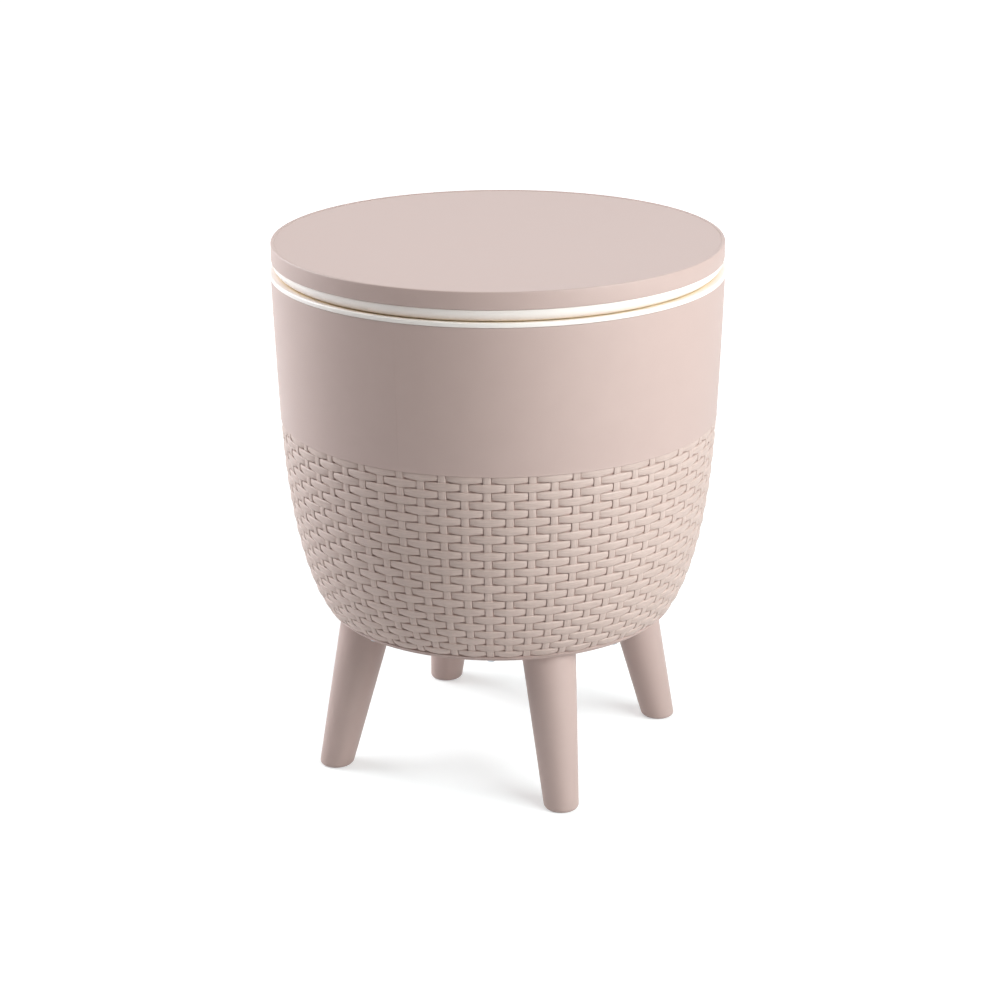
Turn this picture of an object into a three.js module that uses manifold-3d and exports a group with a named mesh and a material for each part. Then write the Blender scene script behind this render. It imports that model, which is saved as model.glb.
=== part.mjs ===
// An ice bucket coffee table: a woven-look plastic bowl on four splayed legs, with a white
// bucket hung inside it and a round table top that lifts off as its lid.
// Millimetres, +Z up. The origin lies on the floor, under the middle of the table.

import * as THREE from 'three';
import { mergeVertices } from 'three/addons/utils/BufferGeometryUtils.js';
import Module from 'manifold-3d';

const wasm = await Module();
wasm.setup();

// Driving sizes
const tableHeight = 505.6;
const lidRadius = 210;
const lidSkirtHeight = 16;
const gripHeight = 13.2;
const weaveTopHeight = 338.3;
const bandTaper = 4.4;
const baseHeight = 148.6;
const baseInset = 46.8;
const legTopInset = 30.2;
const legSplay = 35.5;
const legTopRadius = 25.6;
const legFootRadius = 16.2;
const legCount = 4;

// Walls
const lidWall = 3;
const panWall = 2.5;
const linerWall = 2.8;
const shellWall = 3;
const plateWall = 2.5;
const legWall = 3;

// Clearances, and how far a cutting shape runs past what it cuts
const seatGap = 0.3;
const cutOverrun = 1;
const weldDistance = 0.0001;

// Flat sides around a turned piece, by how large the piece is
const roundSides = 48;
const legSides = 20;
const drainSides = 20;
const holeSides = 8;
const screwSides = 8;

// Levels and radii where the pieces meet
const lidBottom = tableHeight - lidSkirtHeight;
const lidSeat = lidBottom - gripHeight;
const rimSeat = lidSeat - seatGap;
const lipRise = 2.7;
const lipDepth = 4.4;
const lipReach = 1.3;
const lipOverhang = 0.6;
const lipRadius = lidRadius + lipReach;
const lipTop = rimSeat + lipRise;
const lipBottom = lipTop - lipDepth;
const shellTop = lipBottom - seatGap;
const shellTopRadius = lipRadius - lipOverhang;
const weaveTopRadius = lidRadius - bandTaper;
const baseRadius = lidRadius - baseInset;
const plateTop = baseHeight + plateWall;
const shellBottom = plateTop + seatGap;
const legTop = baseHeight - seatGap;
const legTopCircle = baseRadius - legTopInset;
const legFootCircle = legTopCircle + legSplay;

// The circle where the lid meets the liner rim, and the mouth of the bucket inside it
const seatInset = 15.7;
const seatWidth = 4.8;
const seatRadius = lidRadius - seatInset;
const mouthRadius = seatRadius - seatWidth;

// Screws, all of one kind: a pan head and a plain shank that stands for the thread
const screwShankRadius = 1.9;
const screwHeadRadius = 3.8;
const screwHeadHeight = 2.4;
const screwLength = 14;
const holeClearance = 0.5;
const pilotClearance = 0.4;
const bossWall = 2.5;
const screwHoleRadius = screwShankRadius + holeClearance;
const pilotRadius = screwShankRadius + pilotClearance;
const pilotDepth = screwLength + seatGap;
const bossRadius = pilotRadius + bossWall;

// Colours and finishes of the moulded parts
const taupe = 0xc9bab4;
const white = 0xf1eee7;
const zinc = 0xb9bcc0;
const black = 0x2b2b2c;
const mouldedRoughness = 0.45;
const glossRoughness = 0.3;
const zincRoughness = 0.35;
const zincMetalness = 0.9;
const rubberRoughness = 0.8;

function finish(color, roughness, metalness = 0) {
  return new THREE.MeshStandardMaterial({ color, roughness, metalness });
}

function named(name, geometry, material) {
  const mesh = new THREE.Mesh(geometry, material);
  mesh.name = name;
  return mesh;
}

// Points of an outline from pairs of radius and height.
function outline(pairs) {
  return pairs.map(([radius, height]) => new THREE.Vector2(radius, height));
}

// A rounded corner: part of an ellipse about (radius, height), between two angles in degrees.
function corner(radius, height, across, up, fromAngle, toAngle, steps) {
  const start = THREE.MathUtils.degToRad(fromAngle);
  const end = THREE.MathUtils.degToRad(toAngle);
  const clockwise = toAngle < fromAngle;
  const curve = new THREE.EllipseCurve(radius, height, across, up, start, end, clockwise);
  return curve.getPoints(steps);
}

// A curve moved sideways by a wall thickness, to the left of the way that it runs.
function offset(points, distance) {
  return points.map((point, i) => {
    const before = points[Math.max(i - 1, 0)];
    const after = points[Math.min(i + 1, points.length - 1)];
    const along = after.clone().sub(before).normalize();
    return new THREE.Vector2(point.x - along.y * distance, point.y + along.x * distance);
  });
}

// A solid turned about +Z. The outline runs with the material on its left.
function turned(points, sides) {
  return new THREE.LatheGeometry(points, sides).rotateX(Math.PI / 2);
}

// An outline that goes round a hollow middle is closed by its own first point.
function closed(points) {
  return [...points, points[0].clone()];
}

// An upright cylinder between two heights, at a place in plan.
function post(x, y, bottom, top, radius, sides) {
  const cylinder = new THREE.CylinderGeometry(radius, radius, top - bottom, sides);
  return cylinder.rotateX(Math.PI / 2).translate(x, y, (bottom + top) / 2);
}

// A solid for cutting and joining, from a closed mesh whose shared corners are merged.
function solid(geometry) {
  const bare = geometry.clone();
  bare.deleteAttribute('normal');
  bare.deleteAttribute('uv');
  const merged = mergeVertices(bare, weldDistance);
  const corners = merged.getIndex().array;
  const triangles = [];
  for (let i = 0; i < corners.length; i += 3) {
    const [a, b, c] = corners.slice(i, i + 3);
    if (a !== b && b !== c && c !== a) triangles.push(a, b, c);
  }
  const mesh = new wasm.Mesh({
    numProp: 3,
    vertProperties: new Float32Array(merged.getAttribute('position').array),
    triVerts: new Uint32Array(triangles),
  });
  return new wasm.Manifold(mesh);
}

// The geometry of a cut or joined solid.
function surface(manifold) {
  const mesh = manifold.getMesh();
  const geometry = new THREE.BufferGeometry();
  geometry.setAttribute('position', new THREE.BufferAttribute(mesh.vertProperties, mesh.numProp));
  geometry.setIndex(new THREE.BufferAttribute(mesh.triVerts, 1));
  geometry.computeVertexNormals();
  return geometry;
}

// Adds and then cuts away lists of shapes.
function shaped(body, added, removed) {
  let result = solid(body);
  for (const shape of added) result = result.add(solid(shape));
  for (const shape of removed) result = result.subtract(solid(shape));
  return surface(result);
}

// Places spread evenly on a circle, the first at a given angle in degrees.
function ringPlaces(count, radius, firstAngle) {
  return Array.from({ length: count }, (_, i) => {
    const angle = THREE.MathUtils.degToRad(firstAngle) + (2 * Math.PI * i) / count;
    return { x: radius * Math.cos(angle), y: radius * Math.sin(angle), angle };
  });
}

// One screw, head down, with the seat of its head at height zero and the shank above it.
function screwGeometry() {
  const points = outline([
    [0, -screwHeadHeight],
    [screwHeadRadius, -screwHeadHeight],
    [screwHeadRadius, 0],
    [screwShankRadius, 0],
    [screwShankRadius, screwLength],
    [0, screwLength],
  ]);
  return turned(points, screwSides);
}

function screw(name, x, y, seat, turnedOver) {
  const mesh = named(name, screwGeometry(), finish(zinc, zincRoughness, zincMetalness));
  mesh.position.set(x, y, seat);
  if (turnedOver) mesh.rotation.x = Math.PI;
  return mesh;
}

// Lid top: a flat disc with a plain skirt, a low edge round its face and bosses for the screws
const lidEdgeRound = 1.2;
const lidEdgeWidth = 1.6;
const lidFaceDrop = 0.6;
const lidScrewCount = 6;
const lidScrewInset = 39.5;
const lidScrewCircle = mouthRadius - lidScrewInset;
const plugDepth = 18;
const panBottom = lidSeat - plugDepth;
const panFloorTop = panBottom + panWall;
const wellDepth = 6;
const wellClearance = 2.2;
const wellWall = 2;
const wellRadius = screwHeadRadius + wellClearance;
const wellCeiling = panBottom + wellDepth;
const wellTop = wellCeiling + panWall;

const lidScrewPlaces = ringPlaces(lidScrewCount, lidScrewCircle, 0);

function lidTop() {
  const faceRadius = lidRadius - lidEdgeRound - lidEdgeWidth;
  const skirtInside = lidRadius - lidWall;
  const plateBottom = tableHeight - lidFaceDrop - lidWall;
  const points = [
    ...outline([[0, plateBottom], [skirtInside, plateBottom], [skirtInside, lidBottom]]),
    ...outline([[lidRadius, lidBottom]]),
    ...corner(lidRadius - lidEdgeRound, tableHeight - lidEdgeRound, lidEdgeRound, lidEdgeRound, 0, 90, 2),
    ...outline([[faceRadius, tableHeight], [faceRadius - lidFaceDrop, tableHeight - lidFaceDrop]]),
    ...outline([[0, tableHeight - lidFaceDrop]]),
  ];
  const bossBottom = wellTop + seatGap;
  const bosses = lidScrewPlaces.map(({ x, y }) =>
    post(x, y, bossBottom, plateBottom + cutOverrun, bossRadius, holeSides));
  const pilots = lidScrewPlaces.map(({ x, y }) =>
    post(x, y, bossBottom - cutOverrun, bossBottom + pilotDepth, pilotRadius, holeSides));
  const geometry = shaped(turned(points, roundSides), bosses, pilots);
  return named('lid_top', geometry, finish(taupe, mouldedRoughness));
}

// Lid pan: the white underside, a tray that curves in to the rim and plugs the mouth
const panInset = 1;
const panEdgeRadius = lidRadius - panInset;
const panRingHeight = 7;
const panRingWall = 2.5;
const plugClearance = 2;
const plugDraft = 1.5;
const plugRound = 6;

function lidPan() {
  const panTop = lidBottom - seatGap;
  const ringOutside = lidRadius - lidWall - seatGap;
  const ringInside = ringOutside - panRingWall;
  const plugRadius = mouthRadius - plugClearance;
  const plugBottomRadius = plugRadius - plugDraft;
  const flareHeight = panTop - lidSeat;
  const flareWidth = panEdgeRadius - seatRadius;
  const seatTop = lidSeat + panWall;
  const points = [
    ...outline([[0, panBottom]]),
    ...corner(plugBottomRadius - plugRound, panBottom + plugRound, plugRound, plugRound, -90, 0, 2),
    ...outline([[plugRadius, lidSeat]]),
    ...corner(seatRadius, panTop, flareWidth, flareHeight, -90, 0, 3),
    ...outline([[ringOutside, panTop], [ringOutside, panTop + panRingHeight]]),
    ...outline([[ringInside, panTop + panRingHeight]]),
    ...corner(seatRadius, panTop, ringInside - seatRadius, flareHeight - panWall, 0, -90, 2),
    ...outline([[plugRadius - panWall, seatTop], [plugBottomRadius - plugRound, panFloorTop]]),
    ...outline([[0, panFloorTop]]),
  ];
  const wells = lidScrewPlaces.map(({ x, y }) =>
    post(x, y, panBottom + panWall / 2, wellTop, wellRadius + wellWall, holeSides));
  const recesses = lidScrewPlaces.map(({ x, y }) =>
    post(x, y, panBottom - cutOverrun, wellCeiling, wellRadius, holeSides));
  const holes = lidScrewPlaces.map(({ x, y }) =>
    post(x, y, wellCeiling - cutOverrun, wellTop + cutOverrun, screwHoleRadius, holeSides));
  const geometry = shaped(turned(points, roundSides), wells, [...recesses, ...holes]);
  return named('lid_pan', geometry, finish(white, glossRoughness));
}

function lidScrews() {
  const seat = wellCeiling - seatGap;
  return lidScrewPlaces.map(({ x, y }, i) => screw(`lid_screw_${i + 1}`, x, y, seat, false));
}

// Liner: the white ice bucket, hung from its lip on the shell's top edge
const linerTopRadius = mouthRadius + linerWall;
const linerWaistDrop = 3.5;
const linerFloorInset = 45.2;
const linerFloorRise = 17;
const linerFloorRadius = baseRadius - linerFloorInset;
const linerFloorBottom = plateTop + linerFloorRise;
const linerBowlShares = { waistDown: 0.62, waistIn: 0.05, floorOut: 0.67 };
const lipRound = 1.2;
const lipUnderDrop = 8;
const lipWebThickness = 2.6;
const locatingWall = 2.5;
const locatingGap = 0.8;
const spoutRadius = 12;
const spoutClearance = 0.8;
const spoutHoleRadius = spoutRadius + spoutClearance;

function linerBowl() {
  const waist = new THREE.Vector2(linerTopRadius - linerWaistDrop, weaveTopHeight);
  const floorEdge = new THREE.Vector2(linerFloorRadius, linerFloorBottom);
  const height = waist.y - floorEdge.y;
  const width = waist.x - floorEdge.x;
  const upper = new THREE.Vector2(
    waist.x - width * linerBowlShares.waistIn, waist.y - height * linerBowlShares.waistDown);
  const lower = new THREE.Vector2(
    floorEdge.x + width * linerBowlShares.floorOut, floorEdge.y);
  return new THREE.CubicBezierCurve(floorEdge, lower, upper, waist).getPoints(6);
}

function liner() {
  const webBottom = rimSeat - lipWebThickness;
  const locatingOutside = shellTopRadius - shellWall - locatingGap;
  const locatingInside = locatingOutside - locatingWall;
  const bowlOutside = linerBowl();
  const bowlInside = offset(bowlOutside, linerWall).reverse();
  const points = closed([
    ...outline([[spoutHoleRadius, linerFloorBottom]]),
    ...bowlOutside,
    ...outline([[linerTopRadius, webBottom], [locatingInside, webBottom]]),
    ...outline([[locatingInside, lipBottom - lipUnderDrop]]),
    ...outline([[locatingOutside, lipBottom - lipUnderDrop], [locatingOutside, lipBottom]]),
    ...outline([[lipRadius, lipBottom]]),
    ...corner(lipRadius - lipRound, lipTop - lipRound, lipRound, lipRound, 0, 90, 2),
    ...outline([[seatRadius, rimSeat], [mouthRadius, rimSeat]]),
    ...bowlInside,
    ...outline([[spoutHoleRadius, linerFloorBottom + linerWall]]),
  ]);
  return named('liner', turned(points, roundSides), finish(white, glossRoughness));
}

// Outer shell: a smooth band above the bowl that carries the moulded weave. Every row of the
// weave has a strand over every second stake, and in the next row the strands shift by a stake.
const weaveOverhang = 2.6;
const bandBulge = 0.7;
const bowlShares = { topIn: 0.11, topDown: 0.56, bottomOut: 0.43, bottomUp: 0.12 };
const weaveRowCount = 23;
const weaveStakeCount = 64;
const rowGrowthShare = 0.03;
const weaveFootBand = 2.7;
const borderDepth = 1.2;
const diveDepth = 1.6;
const bowlWall = 4.6;
const flangeWidth = 15;
const baseScrewCount = 8;
const baseScrewInset = 6.2;
const baseScrewCircle = baseRadius - baseScrewInset;
const shellBossHeight = 15;

const baseScrewPlaces = ringPlaces(baseScrewCount, baseScrewCircle, 180 / baseScrewCount);

function bowlCurve() {
  const top = new THREE.Vector2(weaveTopRadius, weaveTopHeight);
  const foot = new THREE.Vector2(baseRadius + weaveOverhang, shellBottom);
  const height = top.y - foot.y;
  const width = top.x - foot.x;
  const lower = new THREE.Vector2(
    foot.x + width * bowlShares.bottomOut, foot.y + height * bowlShares.bottomUp);
  const upper = new THREE.Vector2(
    top.x - width * bowlShares.topIn, top.y - height * bowlShares.topDown);
  return new THREE.CubicBezierCurve(foot, lower, upper, top);
}

function bandCurve() {
  const bottom = new THREE.Vector2(weaveTopRadius, weaveTopHeight);
  const rim = new THREE.Vector2(shellTopRadius, shellTop);
  const middle = bottom.clone().lerp(rim, 0.5);
  middle.x += bandBulge;
  return new THREE.QuadraticBezierCurve(bottom, middle, rim);
}

// The bowl's face along one stake, from the foot up. A strand's crest lies in the face itself.
// The borders between the rows lie deeper, and so do the places where a strand dives.
function weaveLine(crestRows) {
  const curve = bowlCurve();
  const levelCount = 2 * weaveRowCount;
  const rowsShare = 1 - weaveFootBand / curve.getLength();
  const points = [curve.getPoint(0)];
  for (let level = levelCount; level > 0; level -= 1) {
    const down = level / levelCount;
    const grown = (down + rowGrowthShare * down * down) / (1 + rowGrowthShare);
    const place = 1 - rowsShare * grown;
    const row = (level - 1) / 2;
    const border = level % 2 === 0;
    const crest = row % 2 === crestRows;
    const depth = border ? borderDepth : diveDepth * (crest ? 0 : 1);
    const along = curve.getTangentAt(place);
    const face = curve.getPointAt(place);
    points.push(new THREE.Vector2(face.x - along.y * depth, face.y + along.x * depth));
  }
  return points;
}

// A turned solid whose upright lines take turns between two outlines of as many points.
function turnedInTurns(even, odd, sides) {
  const geometry = new THREE.LatheGeometry(even, sides);
  const position = geometry.getAttribute('position');
  for (let i = 0; i < position.count; i += 1) {
    const column = Math.floor(i / even.length);
    const angle = (2 * Math.PI * column) / sides;
    const point = (column % 2 === 0 ? even : odd)[i % even.length];
    position.setXYZ(i, point.x * Math.sin(angle), point.y, point.x * Math.cos(angle));
  }
  return geometry.rotateX(Math.PI / 2);
}

function shellOutline(crestRows) {
  const band = bandCurve().getPoints(2);
  const flangeTop = shellBottom + shellWall;
  const footRadius = baseRadius + weaveOverhang;
  const flangeInside = footRadius - flangeWidth;
  const bowlInside = offset(bowlCurve().getPoints(8), bowlWall)
    .filter((point) => point.y > flangeTop + shellWall).reverse();
  const bandInside = offset(band, shellWall)[1];
  return closed([
    ...outline([[flangeInside, shellBottom]]),
    ...weaveLine(crestRows),
    ...band,
    ...outline([[shellTopRadius - shellWall, shellTop]]),
    bandInside,
    ...bowlInside,
    ...outline([[footRadius - bowlWall / 2, flangeTop], [flangeInside, flangeTop]]),
  ]);
}

function outerShell() {
  const bosses = baseScrewPlaces.map(({ x, y }) =>
    post(x, y, shellBottom + shellWall / 2, shellBottom + shellBossHeight, bossRadius, holeSides));
  const pilots = baseScrewPlaces.map(({ x, y }) =>
    post(x, y, shellBottom - cutOverrun, shellBottom + pilotDepth - plateWall, pilotRadius, holeSides));
  const body = turnedInTurns(shellOutline(1), shellOutline(0), weaveStakeCount);
  return named('outer_shell', shaped(body, bosses, pilots), finish(taupe, mouldedRoughness));
}

// Leg: a tapered cup on a slant. Every level section is a circle, whose centre moves
// inwards with height, so that the foot stands flat and the top meets the plate flat.
const legSlope = (legTopCircle - legFootCircle) / baseHeight;
const legTaper = (legTopRadius - legFootRadius) / legTop;
const footRound = 4.6;
const footFloor = 8;
const legPostRadius = 8.5;
const cupDepth = 28;
const cupBottom = baseHeight - cupDepth;
const legPilotDepth = screwLength - plateWall + seatGap;

function legRadiusAt(height) {
  return legFootRadius + legTaper * height;
}

function slanted(geometry) {
  return geometry.applyMatrix4(new THREE.Matrix4().makeShear(0, 0, 0, 0, legSlope, 0));
}

const legPlaces = ringPlaces(legCount, legFootCircle, 180 / legCount);
const legScrewReach = legFootCircle + legSlope * cupBottom;
const legScrewPlaces = ringPlaces(legCount, legScrewReach, 180 / legCount);

function legGeometry() {
  const postTop = cupBottom - seatGap;
  const points = [
    ...outline([[0, 0]]),
    ...corner(legRadiusAt(footRound) - footRound, footRound, footRound, footRound, -90, 0, 2),
    ...outline([[legTopRadius, legTop], [legTopRadius - legWall, legTop]]),
    ...outline([[legRadiusAt(footFloor) - legWall, footFloor], [legPostRadius, footFloor]]),
    ...outline([[legPostRadius, postTop], [0, postTop]]),
  ];
  const leg = slanted(turned(points, legSides));
  const holeX = legScrewReach - legFootCircle;
  const pilot = post(holeX, 0, postTop - legPilotDepth, postTop + cutOverrun, pilotRadius, holeSides);
  return shaped(leg, [], [pilot]);
}

function legs() {
  return legPlaces.map(({ angle }, i) => {
    const mesh = named(`leg_${i + 1}`, legGeometry(), finish(taupe, mouldedRoughness));
    mesh.position.x = legFootCircle;
    const arm = new THREE.Group();
    arm.rotation.z = angle;
    arm.add(mesh);
    return arm;
  });
}

function legScrews() {
  const seat = cupBottom + plateWall + seatGap;
  return legScrewPlaces.map(({ x, y }, i) => screw(`leg_screw_${i + 1}`, x, y, seat, true));
}

// Base plate: the disc under the shell, with four cups that fill the legs' open tops, ribs,
// and a tower round the drain that carries the liner's floor
const beadRound = 0.9;
const towerInside = 22;
const towerWall = 3;
const ribCount = 8;
const ribWidth = 2.5;
const ribHeight = 12;
const ribOverlap = 1;

function cupShape(bottom, top, wall, sides) {
  const place = (height) => legRadiusAt(height) - legWall - seatGap - wall;
  const points = outline([[0, bottom], [place(bottom), bottom], [place(top), top], [0, top]]);
  return slanted(turned(points, sides)).translate(legFootCircle, 0, 0);
}

function basePlate() {
  const beadRadius = baseRadius - beadRound;
  const towerOutside = towerInside + towerWall;
  const towerTop = linerFloorBottom - seatGap;
  const points = closed([
    ...outline([[spoutHoleRadius, baseHeight]]),
    ...corner(beadRadius, baseHeight + beadRound, beadRound, beadRound, -90, 0, 2),
    ...corner(beadRadius, plateTop - beadRound, beadRound, beadRound, 0, 90, 2),
    ...outline([[towerOutside, plateTop], [towerOutside, towerTop], [towerInside, towerTop]]),
    ...outline([[towerInside, plateTop], [spoutHoleRadius, plateTop]]),
  ]);
  const ribStart = towerOutside - ribOverlap;
  const ribEnd = baseRadius - flangeWidth - ribOverlap;
  const ribs = ringPlaces(ribCount, 0, 0).map(({ angle }) =>
    new THREE.BoxGeometry(ribEnd - ribStart, ribWidth, ribHeight + ribOverlap)
      .translate((ribStart + ribEnd) / 2, 0, plateTop + (ribHeight - ribOverlap) / 2)
      .rotateZ(angle));
  const cups = legPlaces.map(({ angle }) =>
    cupShape(cupBottom, baseHeight + ribOverlap, 0, legSides).rotateZ(angle));
  const hollows = legPlaces.map(({ angle }) =>
    cupShape(cupBottom + plateWall, plateTop + ribHeight + cutOverrun, plateWall, legSides).rotateZ(angle));
  const legHoles = legScrewPlaces.map(({ x, y }) =>
    post(x, y, cupBottom - cutOverrun, cupBottom + plateWall + cutOverrun, screwHoleRadius, holeSides));
  const rimHoles = baseScrewPlaces.map(({ x, y }) =>
    post(x, y, baseHeight - cutOverrun, plateTop + cutOverrun, screwHoleRadius, holeSides));
  const plate = turned(points, roundSides);
  const geometry = shaped(plate, [...ribs, ...cups], [...hollows, ...legHoles, ...rimHoles]);
  return named('base_plate', geometry, finish(taupe, mouldedRoughness));
}

function baseScrews() {
  const seat = baseHeight - seatGap;
  return baseScrewPlaces.map(({ x, y }, i) => screw(`base_screw_${i + 1}`, x, y, seat, false));
}

// Drain: a flanged spout through the liner's floor and the plate, its washer, nut and cap
const spoutWall = 4;
const spoutBore = spoutRadius - spoutWall;
const spoutFlangeWidth = 8;
const spoutFlangeRadius = spoutRadius + spoutFlangeWidth;
const spoutFlangeHeight = 3;
const spoutBelowPlate = 22;
const washerHeight = 1.6;
const nutWidth = 8;
const nutRadius = spoutRadius + nutWidth;
const nutHeight = 8;
const capWall = 2.5;
const capHeight = 12;
const nutSides = 6;
const floorTop = linerFloorBottom + linerWall;
const washerBottom = floorTop + seatGap;
const flangeBottom = washerBottom + washerHeight + seatGap;
const spoutBottom = baseHeight - spoutBelowPlate;

function ringPoints(inside, outside, bottom, top) {
  return closed(outline([[inside, bottom], [outside, bottom], [outside, top], [inside, top]]));
}

function drainSpout() {
  const flangeTop = flangeBottom + spoutFlangeHeight;
  const points = closed(outline([
    [spoutBore, spoutBottom], [spoutRadius, spoutBottom], [spoutRadius, flangeBottom],
    [spoutFlangeRadius, flangeBottom], [spoutFlangeRadius, flangeTop - spoutFlangeHeight / 2],
    [spoutFlangeRadius - spoutFlangeHeight / 2, flangeTop], [spoutBore, flangeTop],
  ]));
  return named('drain_spout', turned(points, drainSides), finish(white, glossRoughness));
}

function drainWasher() {
  const points = ringPoints(spoutHoleRadius, spoutFlangeRadius, washerBottom, washerBottom + washerHeight);
  return named('drain_washer', turned(points, drainSides), finish(black, rubberRoughness));
}

function drainNut() {
  const top = baseHeight - seatGap;
  const bottom = top - nutHeight;
  const body = turned(outline([[0, bottom], [nutRadius, bottom], [nutRadius, top], [0, top]]), nutSides);
  const hole = post(0, 0, bottom - cutOverrun, top + cutOverrun, spoutRadius + seatGap, drainSides);
  return named('drain_nut', shaped(body, [], [hole]), finish(white, glossRoughness));
}

function drainCap() {
  const top = baseHeight - nutHeight - 2 * seatGap;
  const bottom = spoutBottom - seatGap - capWall;
  const inside = spoutRadius + seatGap;
  const outside = inside + capWall;
  const points = outline([
    [0, bottom], [outside - beadRound, bottom], [outside, bottom + beadRound], [outside, bottom + capHeight],
    [inside, bottom + capHeight], [inside, bottom + capWall], [0, bottom + capWall],
  ]);
  return named('drain_cap', turned(points, drainSides), finish(white, glossRoughness));
}

const table = new THREE.Group();
table.add(lidTop(), lidPan(), ...lidScrews());
table.add(liner(), outerShell(), basePlate(), ...baseScrews());
table.add(...legs(), ...legScrews());
table.add(drainSpout(), drainWasher(), drainNut(), drainCap());

export default table;
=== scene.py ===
# %% [markdown]
# A round ice bucket table for the patio. The top lifts off as the lid of a white bucket, which
# hangs in a taupe shell. The upper half of the shell is smooth, the lower half is moulded like
# woven rattan, and four splayed legs carry it. All of it is injection-moulded plastic.
#
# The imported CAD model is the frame: it gives every piece its place and size. Its solids have
# flat sides, so each one is replaced here by a smooth surface with the details of the real one.

# %% Load the frame
import math

import bpy
import numpy as np
from mathutils import Matrix, Vector


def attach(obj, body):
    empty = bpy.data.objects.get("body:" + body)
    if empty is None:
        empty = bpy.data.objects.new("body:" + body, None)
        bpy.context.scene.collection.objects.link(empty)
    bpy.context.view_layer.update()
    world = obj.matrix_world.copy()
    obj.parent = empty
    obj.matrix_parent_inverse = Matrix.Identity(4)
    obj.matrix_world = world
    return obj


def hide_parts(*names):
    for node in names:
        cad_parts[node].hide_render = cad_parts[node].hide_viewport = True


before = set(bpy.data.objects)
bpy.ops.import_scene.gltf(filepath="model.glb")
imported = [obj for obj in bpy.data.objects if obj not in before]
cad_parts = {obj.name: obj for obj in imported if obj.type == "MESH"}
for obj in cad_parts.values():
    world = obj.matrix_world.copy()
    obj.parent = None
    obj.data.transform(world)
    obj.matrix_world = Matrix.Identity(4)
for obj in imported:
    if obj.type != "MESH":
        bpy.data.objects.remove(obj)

join = np.concatenate
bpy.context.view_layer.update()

# %% [markdown]
# The sizes below are in millimetres and are shared by several pieces. Heights are measured from
# the floor and radii from the table's axis. They are the sizes of the CAD model, so that the
# smooth pieces fit each other as its solids do.

# %% Shared sizes
gap = 0.3
wall = 3
plate_wall = 2.5
lid_radius = 210
lid_top_height = 505.6
lid_bottom = lid_top_height - 16
lid_face = lid_top_height - 0.6
lid_underside = lid_face - wall
seat_height = lid_bottom - 13.2
rim_height = seat_height - gap
seat_radius = lid_radius - 15.7
mouth_radius = seat_radius - 4.8
lip_radius = lid_radius + 1.3
lip_top = rim_height + 2.7
lip_bottom = lip_top - 4.4
shell_rim = np.array([lip_radius - 0.6, lip_bottom - gap])
weave_top = np.array([lid_radius - 4.4, 338.3])
plate_bottom = 148.6
plate_top = plate_bottom + plate_wall
plate_radius = lid_radius - 46.8
shell_bottom = plate_top + gap
shell_foot = np.array([plate_radius + 2.6, shell_bottom])
leg_top = plate_bottom - gap
print("Rim of the shell:", shell_rim, "- top of the weave:", weave_top, "- foot:", shell_foot)

# %% Screws and holes
pilot_radius = 2.3
boss_radius = pilot_radius + 2.5
screw_hole = 2.4
pilot_depth = 14 + gap
columns = 192
around = np.linspace(0, 360, columns + 1)
print("Columns round a turned piece:", columns, "- one every", 360 / columns, "degrees")

# %% [markdown]
# Nearly every piece is an outline of radius and height that is turned about the table's axis.
# Two helpers draw outlines: one rounds the corners, as every corner of a moulding is rounded,
# and one draws free curves. A third gives the curve that lies a wall's thickness beside another.

# %% Outlines
def rounded(corners, step=20):
    """Joins corners (radius, height, fillet) with straight lines and round fillets.

    At a turn by the angle a, an arc of radius f touches both lines f * tan(a / 2) before and
    after the corner. Its points are its centre plus f times the cosine and sine of an angle.
    """
    points = []
    for before, here, after in zip([None, *corners], corners, [*corners[1:], None]):
        corner, fillet = np.array(here[:2], float), here[2]
        if before is None or after is None or fillet == 0:
            points.append(corner[None])
            continue
        inward = corner - np.array(before[:2], float)
        onward = np.array(after[:2], float) - corner
        inward, onward = inward / np.hypot(*inward), onward / np.hypot(*onward)
        side = np.sign(inward[0] * onward[1] - inward[1] * onward[0])
        turn = math.acos(np.clip(inward @ onward, -1, 1))
        normal = side * np.array([-inward[1], inward[0]])
        centre = corner - inward * fillet * math.tan(turn / 2) + normal * fillet
        first = math.atan2(-normal[1], -normal[0])
        angles = first + side * np.linspace(0, turn, max(2, math.ceil(math.degrees(turn) / step) + 1))
        points.append(centre + fillet * np.stack([np.cos(angles), np.sin(angles)], -1))
    return join(points)


def bezier(controls, steps):
    """Points on a Bezier curve: neighbours are mixed by t and 1 - t until one is left."""
    t = np.linspace(0, 1, steps + 1)[:, None]
    level = [np.asarray(control, float) * np.ones_like(t) for control in controls]
    while len(level) > 1:
        level = [(1 - t) * a + t * b for a, b in zip(level, level[1:])]
    return level[0]


def arc(centre, across, up, start, end, steps):
    """Part of an ellipse: the centre plus (across * cos, up * sin) of an angle in degrees."""
    angles = np.radians(np.linspace(start, end, steps + 1))
    return np.asarray(centre, float) + np.stack([across * np.cos(angles), up * np.sin(angles)], -1)


def beside(curve, distance):
    """The curve moved to the left of the way it runs, along its normal (-dy, dx)."""
    along = np.gradient(curve, axis=0)
    along /= np.linalg.norm(along, axis=1, keepdims=True)
    return curve + distance * np.stack([-along[:, 1], along[:, 0]], -1)

# %% Outlines to surfaces
def polar(r, a, z):
    """Points at a radius, an angle in radians and a height: (r cos a, r sin a, z)."""
    return np.stack(np.broadcast_arrays(r * np.cos(a), r * np.sin(a), z), -1)


def turned(outline, angles=around):
    """Turns an outline (r, z) round the axis, to a point at each of the angles in degrees.

    An outline that runs with the material on its left gives faces that point outwards.
    """
    r, z = np.asarray(outline, float).T[..., None]
    return polar(r, np.radians(angles), z)


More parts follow.
